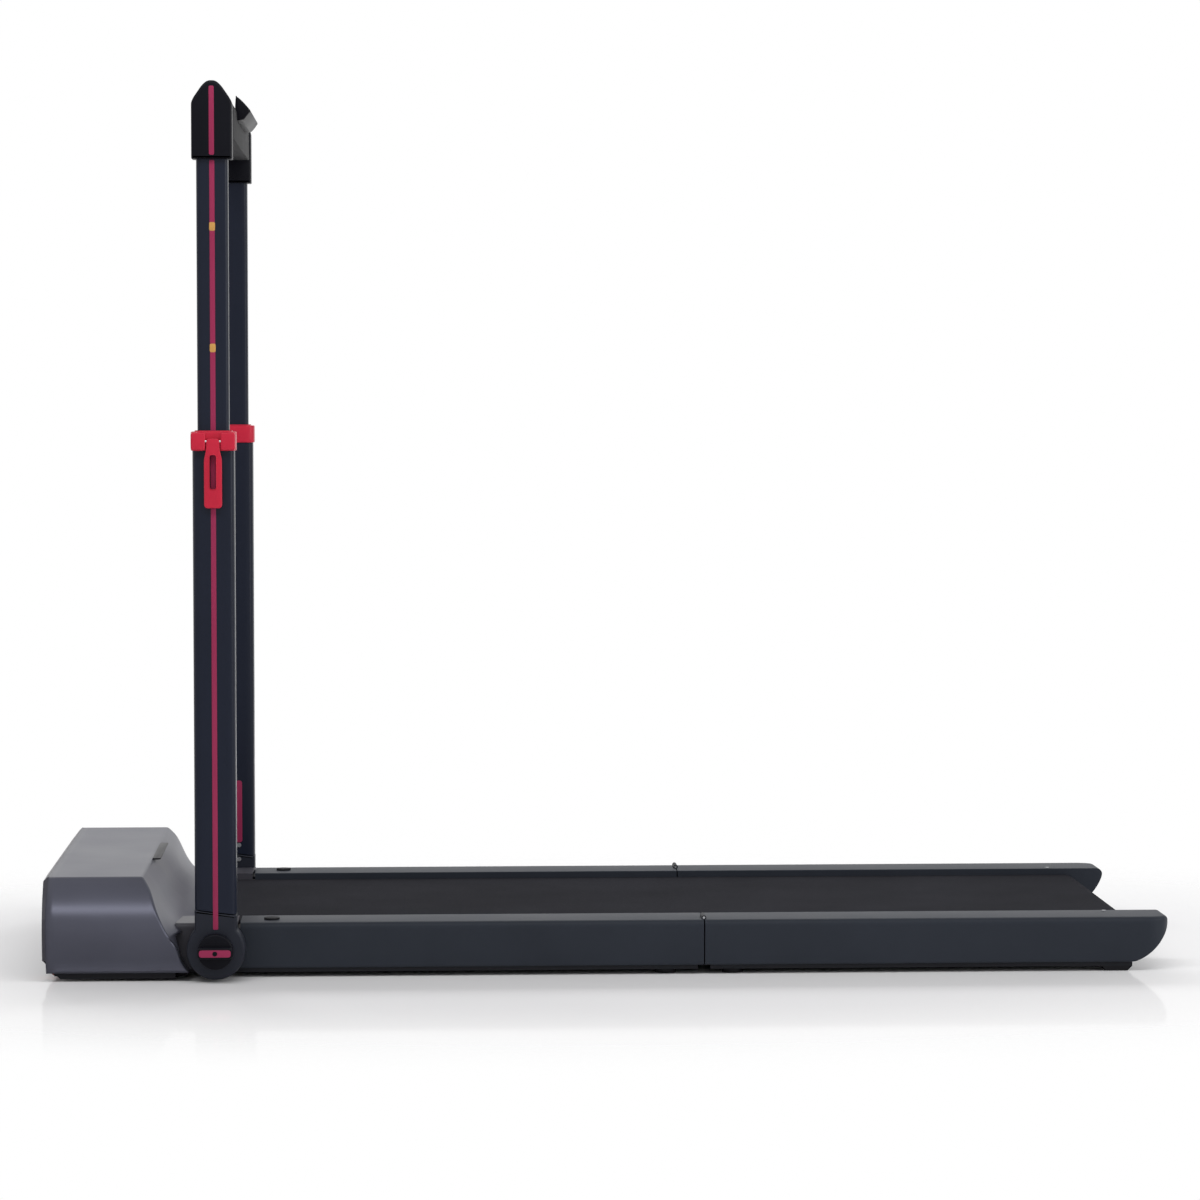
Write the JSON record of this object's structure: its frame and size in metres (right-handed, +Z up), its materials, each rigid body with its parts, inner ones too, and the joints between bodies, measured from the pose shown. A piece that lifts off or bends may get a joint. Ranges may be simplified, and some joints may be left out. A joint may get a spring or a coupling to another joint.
{
  "type": "treadmill",
  "caption": "Flat folding treadmill with a low motor hood, a deck that folds in half, and a fold-down telescopic handle with cam clamps and a phone ledge.",
  "frame": {"origin": "on the floor, under the middle of the bounding box", "axes": "+X from the motor hood to the step-on end, +Y to the walker's right, +Z up"},
  "size_m": [1.45, 0.72, 1.135],
  "materials": {
    "hood_paint": "metallic gunmetal, satin clear coat",
    "hood_plastic": "dark moulded plastic, fine grain",
    "pan_plastic": "black moulded plastic, coarse grain",
    "smoked_window": "smoked gloss lens",
    "circuit_board": "green laminate",
    "motor_black": "black enamel",
    "frame_black": "black powder coat",
    "board_wood": "dark waxed board",
    "rail_grey": "dark slate, fine satin grain",
    "steel": "turned and plated",
    "alloy": "machined",
    "belt_rubber": "black, fine diamond texture",
    "rubber_black": "black, matt",
    "wheel_plastic": "brownish red nylon",
    "tube_navy": "dark blue-black powder coat",
    "foot_black": "cast, dark powder coat",
    "strip_red": "crimson, satin",
    "clamp_red": "bright red, glossy",
    "mark_yellow": "amber print",
    "grip_black": "black soft-touch grip",
    "gloss_black": "black, satin gloss"
  },
  "bodies": {
    "base": {"base_pan": "pan_plastic", "hood_shell": "hood_paint", "front_fascia": "hood_plastic", "display_window": "smoked_window", "display_board": "circuit_board", "motor_housing": "motor_black", "motor_bracket": "frame_black", "control_unit": "alloy", "power_inlet": "gloss_black", "front_frame": "frame_black", "front_running_board": "board_wood", "front_rail_left": "rail_grey", "front_rail_right": "rail_grey", "rail_front_caps": "hood_plastic", "pivot_studs": "steel", "drive_axle": "steel", "drive_belt": "belt_rubber", "front_hinge_leaves": "frame_black", "fold_pins": "steel", "front_feet": "rubber_black", "rail_bumpers": "rubber_black", "belt_front": "belt_rubber", "wheel_axles": "steel"},
    "rocker": {"power_rocker": "clamp_red"},
    "roller": {"drive_roller": "steel"},
    "rotor": {"motor_rotor": "steel"},
    "wheel_left": {"transport_wheel_left": "wheel_plastic"},
    "wheel_right": {"transport_wheel_right": "wheel_plastic"},
    "rear_deck": {"rear_frame": "frame_black", "rear_running_board": "board_wood", "rear_rail_left": "rail_grey", "rear_rail_right": "rail_grey", "rear_hinge_leaves": "frame_black", "rear_axle": "steel", "tension_bolts": "steel", "rear_feet": "rubber_black", "rail_studs": "steel", "belt_rear": "belt_rubber"},
    "tail_roller": {"rear_roller": "steel"},
    "uprights": {"lower_tube_left": "tube_navy", "lower_tube_right": "tube_navy", "post_feet": "foot_black", "foot_screws": "steel", "clamp_collars": "clamp_red", "slide_bushes": "gloss_black", "lower_strips": "strip_red", "lever_pins": "steel"},
    "lever_left": {"clamp_lever_left": "clamp_red"},
    "lever_right": {"clamp_lever_right": "clamp_red"},
    "knob_l": {"knob_left": "gloss_black"},
    "knob_r": {"knob_right": "gloss_black"},
    "handlebar": {"upper_tubes": "tube_navy", "upper_strips": "strip_red", "height_marks": "mark_yellow", "tube_glides": "gloss_black", "elbow_caps": "gloss_black", "crossbar": "gloss_black", "grip_cover": "grip_black", "phone_holder": "gloss_black"}
  },
  "joints": [
    {"name": "deck_fold", "type": "hinge", "parent": "base", "child": "rear_deck", "pos_m": [0.122, 0, 0.0715], "axis": [0, -1, 0], "range_deg": [0, 179.8]},
    {"name": "handle_fold", "type": "hinge", "parent": "base", "child": "uprights", "pos_m": [-0.5005, 0, 0.04], "axis": [0, 1, 0], "range_deg": [0, 84]},
    {"name": "handle_telescope", "type": "slide", "parent": "uprights", "child": "handlebar", "axis": [0, 0, -1], "range_m": [0, 0.335]},
    {"name": "lever_left_open", "type": "hinge", "parent": "uprights", "child": "lever_left", "pos_m": [-0.5005, -0.3389, 0.684], "axis": [-1, 0, 0], "range_deg": [0, 110]},
    {"name": "lever_right_open", "type": "hinge", "parent": "uprights", "child": "lever_right", "pos_m": [-0.5005, 0.3389, 0.684], "axis": [1, 0, 0], "range_deg": [0, 110]},
    {"name": "knob_left_turn", "type": "hinge", "parent": "base", "child": "knob_l", "pos_m": [-0.5005, -0.345, 0.04], "axis": [0, 1, 0], "range_deg": [0, 360]},
    {"name": "knob_right_turn", "type": "hinge", "parent": "base", "child": "knob_r", "pos_m": [-0.5005, 0.345, 0.04], "axis": [0, -1, 0], "range_deg": [0, 360]},
    {"name": "drive_roller_spin", "type": "hinge", "parent": "base", "child": "roller", "pos_m": [-0.545, 0, 0.0415], "axis": [0, 1, 0], "continuous": true},
    {"name": "motor_spin", "type": "hinge", "parent": "base", "child": "rotor", "pos_m": [-0.648, 0, 0.062], "axis": [0, 1, 0], "continuous": true},
    {"name": "rear_roller_spin", "type": "hinge", "parent": "rear_deck", "child": "tail_roller", "pos_m": [0.67, 0, 0.0415], "axis": [0, 1, 0], "continuous": true},
    {"name": "wheel_left_roll", "type": "hinge", "parent": "base", "child": "wheel_left", "pos_m": [-0.699, -0.28, 0.021], "axis": [0, 1, 0], "continuous": true},
    {"name": "wheel_right_roll", "type": "hinge", "parent": "base", "child": "wheel_right", "pos_m": [-0.699, 0.28, 0.021], "axis": [0, 1, 0], "continuous": true},
    {"name": "rocker_tip", "type": "hinge", "parent": "base", "child": "rocker", "pos_m": [-0.712, 0.152, 0.056], "axis": [0, -1, 0], "range_deg": [0, 16]}
  ],
  "couplings": [
    {"joint": "motor_spin", "follows": "drive_roller_spin", "ratio": 2.1},
    {"joint": "rear_roller_spin", "follows": "drive_roller_spin", "ratio": 1}
  ]
}
